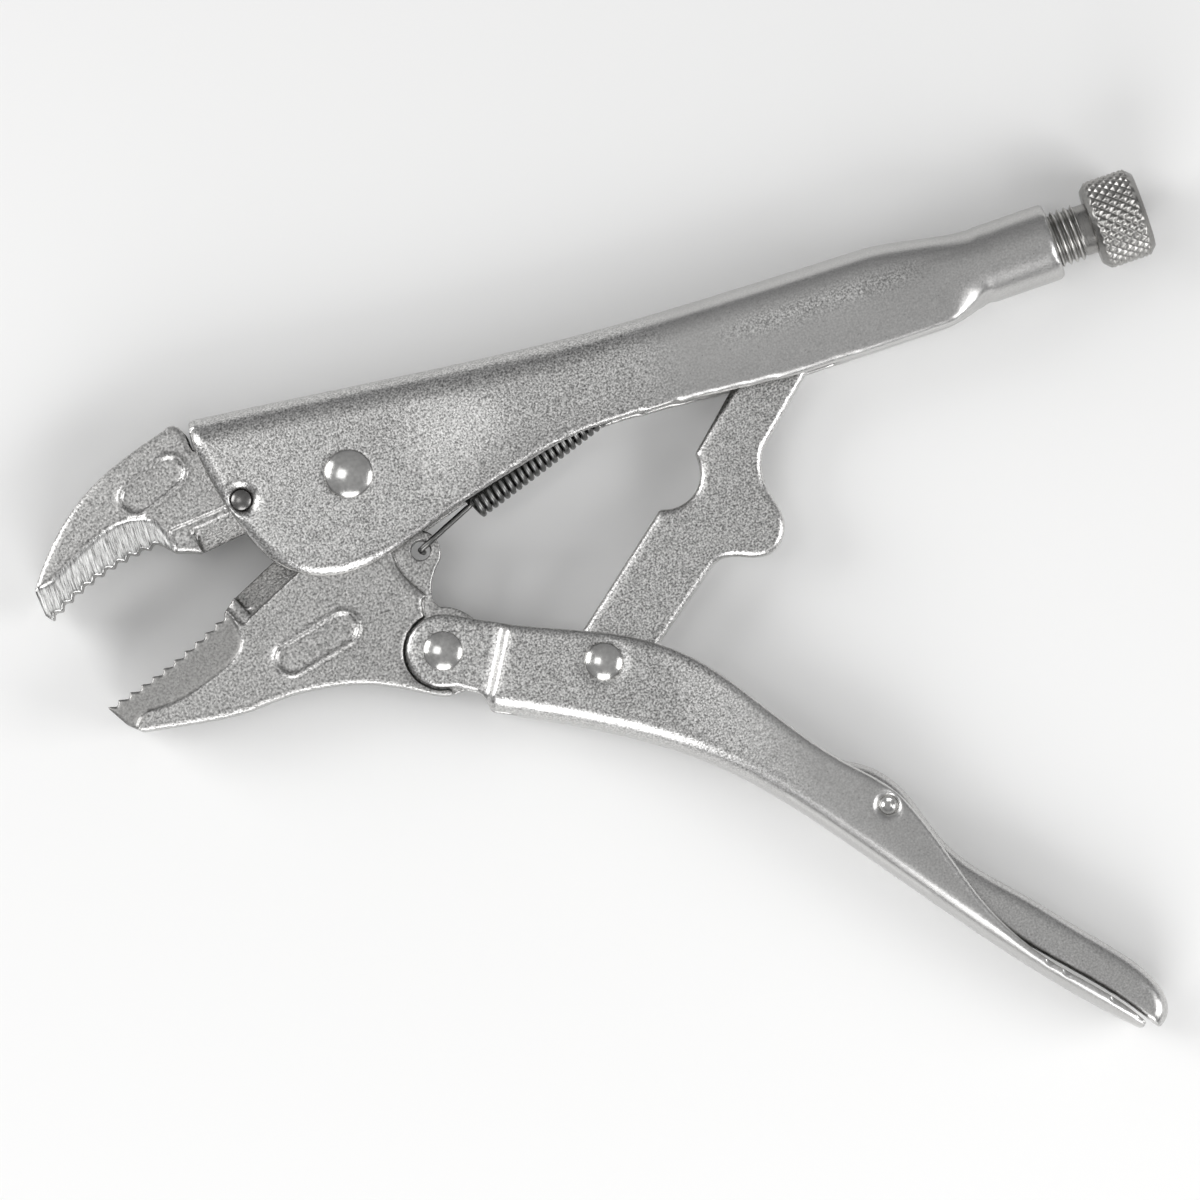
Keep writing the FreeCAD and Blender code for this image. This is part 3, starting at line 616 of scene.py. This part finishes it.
class PLIERS_OT_lower_handle(bpy.types.Operator):
    """Press the lower handle: stepped ears, a seat round the toggle rivet and a rolled belly"""
    bl_idname = "pliers.lower_handle"
    bl_label = "Lower handle"

    def execute(self, context):
        sizes = context.scene.plier_sizes
        level = HANDLE_LEVEL
        piece = skin_from("lower_handle_shell", "lower_handle", sizes.sheet_skin, 3)
        points, normals = points_of(piece), normals_of(piece)
        soften_rim(points, rim_distance(points, normals, level, depth=1.9), 1.3, 0.45)
        rivet = middle_of("jaw_handle_rivet")
        ears = rim_distance(points, normals, EAR_LEVEL)
        away = np.hypot(points[:, 0] - rivet.x, points[:, 1] - rivet.y)
        ears[(away > 12.0) | (np.abs(points[:, 2]) > EAR_LEVEL + 0.3)] = 99.0
        soften_rim(points, ears, 1.1, 0.35)
        sink_round(points, middle_of("toggle_rivet"), 4.9, 0.35, level)
        x, z = points[:, 0], points[:, 2]
        along = step(48.0, 74.0, x) * (1.0 - step(80.0, 108.0, x))
        points[:, 2] += np.sign(z) * sizes.lower_swell / MM * along * step(3.0, 7.5, np.abs(z))
        set_points(piece, points)
        tumble(piece, 0.5, 3)

        def grain(points, normals):
            rear = step(54.0, 76.0, points[:, 0])
            return (1.0 - 0.8 * rear) * (0.25 + 0.75 * np.abs(normals[:, 2]) ** 3)
        finish_skin(piece, "lower_handle", "lower_handle", "plated_sheet", level, grain,
                    [plated()])
        return {"FINISHED"}


class PLIERS_OT_release_lever(bpy.types.Operator):
    """Press the release lever's trough and its spoon-like tail"""
    bl_idname = "pliers.release_lever"
    bl_label = "Release lever"

    def execute(self, context):
        sizes = context.scene.plier_sizes
        level = LEVER_LEVEL
        piece = skin_from("release_lever_shell", "release_lever", sizes.sheet_skin * 0.8, 3)
        points, normals = points_of(piece), normals_of(piece)
        soften_rim(points, rim_distance(points, normals, level, *RIM_BAND), 0.9, 0.3)
        set_points(piece, points)
        tumble(piece, 0.5, 2)
        finish_skin(piece, "release_lever", "release_lever", "plated_sheet", level,
                    lambda points, normals: np.full(len(points), 0.3), [plated()])
        return {"FINISHED"}


class PLIERS_OT_toggle_link(bpy.types.Operator):
    """Blank the toggle link from thick plate and tumble its edges"""
    bl_idname = "pliers.toggle_link"
    bl_label = "Toggle link"

    def execute(self, context):
        sizes = context.scene.plier_sizes
        low, high = box_of("toggle_link")
        level = (high.z - low.z) / 2
        piece = skin_from("toggle_link_plate", "toggle_link", sizes.sheet_skin * 0.85, 3)
        points, normals = points_of(piece), normals_of(piece)
        soften_rim(points, rim_distance(points, normals, level), 1.3, 0.5)
        set_points(piece, points)
        tumble(piece, 0.5, 2)
        finish_skin(piece, "toggle_link", "toggle_link", "plated_sheet", level,
                    lambda points, normals: 0.2 + 0.8 * np.abs(normals[:, 2]) ** 2,
                    [plated()])
        spacers = frame["nodes"]["toggle_spacers"]
        spacers.data.materials.clear()
        spacers.data.materials.append(turned_steel())
        return {"FINISHED"}


# ---------------------------------------------------------------- jaws

def raise_pill(points, pill, level):
    """A thin raised rim round a blank pill-shaped panel, on both flanks."""
    centre, half_length, half_height, degrees = pill
    turn = math.radians(degrees)
    dx, dy = points[:, 0] - centre[0], points[:, 1] - centre[1]
    along = dx * math.cos(turn) + dy * math.sin(turn)
    across = dy * math.cos(turn) - dx * math.sin(turn)
    straight = half_length - half_height
    away = np.hypot(np.maximum(np.abs(along) - straight, 0.0), across) - half_height
    lift = 0.5 * np.exp(-(away / 0.55) ** 2)
    lift[np.abs(points[:, 2]) < level - 1.0] = 0.0
    points[:, 2] += np.sign(points[:, 2]) * lift


class PLIERS_OT_jaws(bpy.types.Operator):
    """Forge both jaws, grind the faces beside their teeth and leave their panels blank"""
    bl_idname = "pliers.jaws"
    bl_label = "Jaws"

    def execute(self, context):
        sizes = context.scene.plier_sizes
        for node, pill, zone, side in (("fixed_jaw", FIXED_PILL, FIXED_GROUND, ground()),
                                       ("moving_jaw", MOVING_PILL, MOVING_GROUND, cut_teeth())):
            low, high = box_of(node)
            level = (high.z - low.z) / 2
            piece = skin_from(node + "_forging", node, sizes.forging_skin, 2)
            points, normals = points_of(piece), normals_of(piece)
            distance = rim_distance(points, normals, level)
            distance[inside(zone, points)] = 99.0
            soften_rim(points, distance, 1.2, 0.4)
            raise_pill(points, pill, level)
            set_points(piece, points)
            tumble(piece, 0.4, 1)
            body = "root" if node == "fixed_jaw" else "moving_jaw"
            finish_skin(piece, body, node, "forged_jaw", level,
                        lambda points, normals: np.full(len(points), 1.0),
                        [forged(), side, cut_teeth()])
            self.paint_teeth(piece, zone)
        return {"FINISHED"}

    def paint_teeth(self, piece, zone):
        """Ground steel on the flanks of the tooth zone, cut steel on the teeth themselves."""
        count = len(piece.data.polygons)
        centres = np.empty(count * 3, np.float64)
        facing = np.empty(count * 3, np.float64)
        piece.data.polygons.foreach_get("center", centres)
        piece.data.polygons.foreach_get("normal", facing)
        centres = (centres.reshape(-1, 3) - np.array(PIVOT)) / MM
        flank = np.abs(facing.reshape(-1, 3)[:, 2]) > 0.6
        index = np.where(inside(zone, centres), np.where(flank, 1, 2), 0)
        piece.data.polygons.foreach_set("material_index", index.astype(np.int32))
        piece.data.update()


# ---------------------------------------------------------------- rivets, pins, screw, spring

def dome(head, top, rim, steps=14):
    """(radius, height) points of a ball-shaped cap from its rim to its top."""
    rise = top - rim
    ball = (head * head + rise * rise) / (2 * rise)
    radii = [max(head * (1.0 - k / steps), 0.02) for k in range(steps + 1)]
    return [(radius, top - ball + math.sqrt(ball * ball - radius * radius)) for radius in radii]


class PLIERS_OT_rivets(bpy.types.Operator):
    """Set the domed rivets and the cross pins"""
    bl_idname = "pliers.rivets"
    bl_label = "Rivets and pins"

    def execute(self, context):
        for node, body, height, shaft in (("main_pivot_rivet", "root", 1.6, 3.5),
                                          ("jaw_handle_rivet", "lower_handle", 1.4, 2.75),
                                          ("toggle_rivet", "lower_handle", 1.4, 2.5)):
            low, high = box_of(node)
            head = (high.x - low.x) / 2
            top = (high.z - low.z) / 2
            seat = top - height - 0.4
            rim = top - height + 0.25
            upper = [(shaft, seat), (head - 0.12, seat), (head, seat + 0.12)] + dome(head, top, rim)
            profile = [(r, -h) for r, h in reversed(upper)] + upper
            piece = turned(node + "_head", profile, middle_of(node))
            hand_over(piece, body, "polished_rivet", [polished()], node)
        for node, body, level in (("fixed_jaw_pin", "root", 8.1), ("spring_anchor_pin", "root", 7.3)):
            low, high = box_of(node)
            radius = (high.x - low.x) / 2 - 0.03
            upper = [(radius, level - 0.7)] + dome(radius, level, level - 0.6)
            piece = turned(node + "_turned", [(r, -h) for r, h in reversed(upper)] + upper,
                           middle_of(node), 48)
            finish = dark_pin() if node == "fixed_jaw_pin" else polished()
            hand_over(piece, body, "polished_rivet", [finish], node)
        self.lever_pin()
        return {"FINISHED"}

    def lever_pin(self):
        """The release lever's pin: peened over, with a raised ring round a dimple."""
        node = "release_lever_pin"
        low, high = box_of(node)
        radius = (high.x - low.x) / 2
        top = (high.z - low.z) / 2
        upper = [(radius, top - 1.0), (radius, top - 0.2), (radius - 0.25, top), (radius - 0.7, top),
                 (radius - 0.95, top - 0.3), (0.5, top - 0.42), (0.02, top - 0.45)]
        piece = turned(node + "_turned", [(r, -h) for r, h in reversed(upper)] + upper,
                       middle_of(node), 48)
        hand_over(piece, "lower_handle", "polished_rivet", [polished()], node)


class PLIERS_OT_adjusting_screw(bpy.types.Operator):
    """Cut the adjusting screw's thread and roll the knob's diamond knurl"""
    bl_idname = "pliers.adjusting_screw"
    bl_label = "Adjusting screw and knob"

    def execute(self, context):
        sizes = context.scene.plier_sizes
        low, high = box_of("adjusting_screw")
        axis = (low + high) / 2
        major = (high.z - low.z) / 2
        pitch, depth = sizes.thread_pitch / MM, sizes.thread_depth / MM
        collar = high.x - sizes.collar_length / MM

        def thread(x, angle):
            phase = (x / pitch - angle / (2 * math.pi)) % 1.0
            crest = min(max((1.0 - abs(2.0 * phase - 1.0)) * 1.7 - 0.35, 0.0), 1.0)
            radius = major - depth * (1.0 - crest)
            if x > collar:
                radius = major - depth * 0.75
            return min(radius, major - 1.6 + (x - low.x))
        piece = round_bar("adjusting_screw_thread", low.x, high.x, thread, axis,
                          rows=330, count=64)
        self.shade_grooves(piece, axis, major, depth)
        hand_over(piece, "screw_knob", "turned_steel", [turned_steel()], "adjusting_screw")

        low, high = box_of("adjusting_knob")
        outer = (high.z - low.z) / 2
        count = sizes.knurl_count
        deep = sizes.knurl_depth / MM
        spacing = 2 * math.pi * outer / count

        def knurl(x, angle):
            edge = min(x - low.x, high.x - x)
            body = outer - max(KNOB_CHAMFER - edge, 0.0)
            turn, run = angle * count / (2 * math.pi), (x - low.x) / spacing
            first = 1.0 - abs(2.0 * ((turn + run) % 1.0) - 1.0)
            second = 1.0 - abs(2.0 * ((turn - run) % 1.0) - 1.0)
            fade = min(max((edge - 0.9) / 0.8, 0.0), 1.0)
            return body - deep * fade * (1.0 - min(first, second, 0.75) / 0.75)
        piece = round_bar("adjusting_knob_knurled", low.x, high.x, knurl, axis,
                          rows=72, count=340)
        self.shade_grooves(piece, axis, outer, deep)
        hand_over(piece, "screw_knob", "turned_steel", [turned_steel()], "adjusting_knob")
        return {"FINISHED"}

    def shade_grooves(self, piece, axis, outer, depth):
        """Dull and darken the metal towards the bottom of the grooves: painted shade."""
        points = points_of(piece)
        radius = np.hypot(points[:, 1] - axis.y, points[:, 2] - axis.z)
        groove = np.clip((outer - radius) / depth, 0.0, 1.0) * step(outer * 0.6, outer * 0.8, radius)
        set_attribute(piece, "grain", np.full(len(points), 0.4))
        # Painted shade: the colour darkens towards the bottom of each groove.
        set_attribute(piece, "edge", -2.6 * groove)


class PLIERS_OT_tension_spring(bpy.types.Operator):
    """Wind the tension spring and bend its two hooks"""
    bl_idname = "pliers.tension_spring"
    bl_label = "Tension spring"

    def execute(self, context):
        sizes = context.scene.plier_sizes
        mean = (sizes.coil - sizes.wire) / MM
        along = Vector((math.cos(COIL_ANGLE), math.sin(COIL_ANGLE), 0))
        across = Vector((-along.y, along.x, 0))
        front = Vector((*COIL_FRONT, 0))
        eye = Vector((*SPRING_EYE, 0))
        path = [eye + Vector((0.5, -0.4, -1.6)), eye + Vector((0.1, -0.1, 1.5)),
                eye + Vector((0, 0, 4.0)), eye + Vector((0.5, 0.2, HOOK_HEIGHT))]
        lead = front + Vector((0, 0, mean))
        for share in (0.25, 0.5, 0.75, 0.92):
            path.append(path[3].lerp(lead, share))
        each = 18
        for k in range(sizes.coil_turns * each + 1):
            turn = 2 * math.pi * k / each
            rise = across * math.sin(turn) + Vector((0, 0, math.cos(turn)))
            path.append(front + along * (COIL_LENGTH * k / (sizes.coil_turns * each)) + rise * mean)
        anchor = middle_of("spring_anchor_pin")
        top = Vector((anchor.x, anchor.y + 2.0, 0))
        rear = front + along * COIL_LENGTH
        path += [rear.lerp(top, 0.3) + Vector((0, 0, mean * 0.6)), rear.lerp(top, 0.7), top]
        piece = tube("tension_spring_wire", path, sizes.wire / MM)
        piece.data.materials.append(spring_wire())
        piece.data.polygons.foreach_set("use_smooth", [True] * len(piece.data.polygons))
        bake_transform(piece)
        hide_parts("tension_spring")
        return {"FINISHED"}


# ---------------------------------------------------------------- stage

VIEW_TURN = math.radians(19.13)
VIEW_TILT = math.radians(2.0)
VIEW_CENTRE = (41.72, -42.98, 8.5)
VIEW_WIDTH = 0.25537
VIEW_DISTANCE = 3.0


def view_axes():
    """The camera's right and up, laid down in the floor's plane."""
    c, s = math.cos(VIEW_TURN), math.sin(VIEW_TURN)
    return Vector((c, -s, 0)), Vector((s, c, 0))


class PLIERS_OT_stage(bpy.types.Operator):
    """Set the floor, the soft lights and the camera"""
    bl_idname = "pliers.stage"
    bl_label = "Floor, lights and camera"

    def execute(self, context):
        right, up = view_axes()
        centre = at(*VIEW_CENTRE)
        self.floor(context)
        self.camera(context, right, up, centre)
        for name, place, size, power in (
                ("key", right * -0.35 + up * 0.05 + Vector((0, 0, 0.95)), 0.35, 0.75),
                ("left", right * -0.75 + up * 0.20 + Vector((0, 0, 0.40)), 0.45, 3.2),
                ("right", right * 0.75 + up * -0.10 + Vector((0, 0, 0.42)), 0.45, 3.0),
                ("front", up * -0.70 + Vector((0, 0, 0.40)), 0.50, 3.0)):
            lamp = bpy.data.lights.new(name + "_softbox", "AREA")
            lamp.shape = "SQUARE"
            lamp.size = size
            lamp.energy = power
            box = bpy.data.objects.new(name + "_softbox", lamp)
            context.scene.collection.objects.link(box)
            box.location = centre + place
            box.rotation_mode = "QUATERNION"
            box.rotation_quaternion = (-place).to_track_quat("-Z", "Y")
        self.sky(context)
        context.scene.view_settings.view_transform = "Standard"
        return {"FINISHED"}

    def floor(self, context):
        low = CAD_BOX[0]
        half = 1.6
        corners = [(-half, -half, low.z), (half, -half, low.z), (half, half, low.z), (-half, half, low.z)]
        floor = add_piece("floor", mesh_from("floor", corners, [(0, 1, 2, 3)]))
        material = bpy.data.materials.new("pale_floor")
        material.use_nodes = True
        nodes = material.node_tree.nodes
        link = material.node_tree.links.new
        shader = nodes["Principled BSDF"]
        shader.inputs["Roughness"].default_value = 0.9
        noise = nodes.new("ShaderNodeTexNoise")
        noise.inputs["Scale"].default_value = 5.0
        ramp = nodes.new("ShaderNodeValToRGB")
        tint = context.scene.plier_colours.floor
        ramp.color_ramp.elements[0].color = [c * 0.985 for c in tint] + [1]
        ramp.color_ramp.elements[1].color = list(tint) + [1]
        link(noise.outputs["Fac"], ramp.inputs["Fac"])
        link(ramp.outputs["Color"], shader.inputs["Base Color"])
        floor.data.materials.append(material)

    def camera(self, context, right, up, centre):
        back = Vector((0, 0, 1)) * math.cos(VIEW_TILT) - up * math.sin(VIEW_TILT)
        top = up * math.cos(VIEW_TILT) + Vector((0, 0, 1)) * math.sin(VIEW_TILT)
        data = bpy.data.cameras.new("camera")
        data.lens = VIEW_DISTANCE * data.sensor_width / VIEW_WIDTH
        camera = bpy.data.objects.new("camera", data)
        context.scene.collection.objects.link(camera)
        turn = Matrix((right, top, back)).transposed().to_4x4()
        camera.matrix_world = Matrix.Translation(centre + back * VIEW_DISTANCE) @ turn
        data.clip_start, data.clip_end = 0.05, 20.0
        context.scene.camera = camera

    def sky(self, context):
        """A soft room: bright overhead, darker towards the horizon."""
        world = bpy.data.worlds.new("soft_room")
        world.use_nodes = True
        context.scene.world = world
        nodes = world.node_tree.nodes
        link = world.node_tree.links.new
        coords = nodes.new("ShaderNodeTexCoord")
        split = nodes.new("ShaderNodeSeparateXYZ")
        ramp = nodes.new("ShaderNodeValToRGB")
        ramp.color_ramp.elements[0].position = 0.0
        ramp.color_ramp.elements[0].color = (0.16, 0.16, 0.165, 1)
        ramp.color_ramp.elements[1].position = 1.0
        ramp.color_ramp.elements[1].color = (0.46, 0.46, 0.46, 1)
        link(coords.outputs["Generated"], split.inputs["Vector"])
        link(split.outputs["Z"], ramp.inputs["Fac"])
        link(ramp.outputs["Color"], nodes["Background"].inputs["Color"])
        nodes["Background"].inputs["Strength"].default_value = 1.0


# ---------------------------------------------------------------- panel and registration

OPERATORS = (PLIERS_OT_stage, PLIERS_OT_fixed_handle, PLIERS_OT_lower_handle,
             PLIERS_OT_release_lever, PLIERS_OT_toggle_link, PLIERS_OT_jaws, PLIERS_OT_rivets,
             PLIERS_OT_adjusting_screw, PLIERS_OT_tension_spring)


class PLIERS_PT_panel(bpy.types.Panel):
    """Lists the pliers' pieces, sizes and colours"""
    bl_label = "Locking pliers"
    bl_idname = "PLIERS_PT_panel"
    bl_space_type = "VIEW_3D"
    bl_region_type = "UI"
    bl_category = "Pliers"

    def draw(self, context):
        for operator in OPERATORS:
            self.layout.operator(operator.bl_idname)
        for group in (context.scene.plier_sizes, context.scene.plier_colours):
            for name in group.bl_rna.properties.keys():
                if name not in ("rna_type", "name"):
                    self.layout.prop(group, name)


CLASSES = (PlierSizes, PlierColours) + OPERATORS + (PLIERS_PT_panel,)


def register():
    for entry in CLASSES:
        bpy.utils.register_class(entry)
    bpy.types.Scene.plier_sizes = PointerProperty(type=PlierSizes)
    bpy.types.Scene.plier_colours = PointerProperty(type=PlierColours)


def unregister():
    del bpy.types.Scene.plier_colours
    del bpy.types.Scene.plier_sizes
    for entry in reversed(CLASSES):
        bpy.utils.unregister_class(entry)


def main():
    register()
    for operator in OPERATORS:
        space, call = operator.bl_idname.split(".")
        getattr(getattr(bpy.ops, space), call)()


if __name__ == "__main__":
    main()
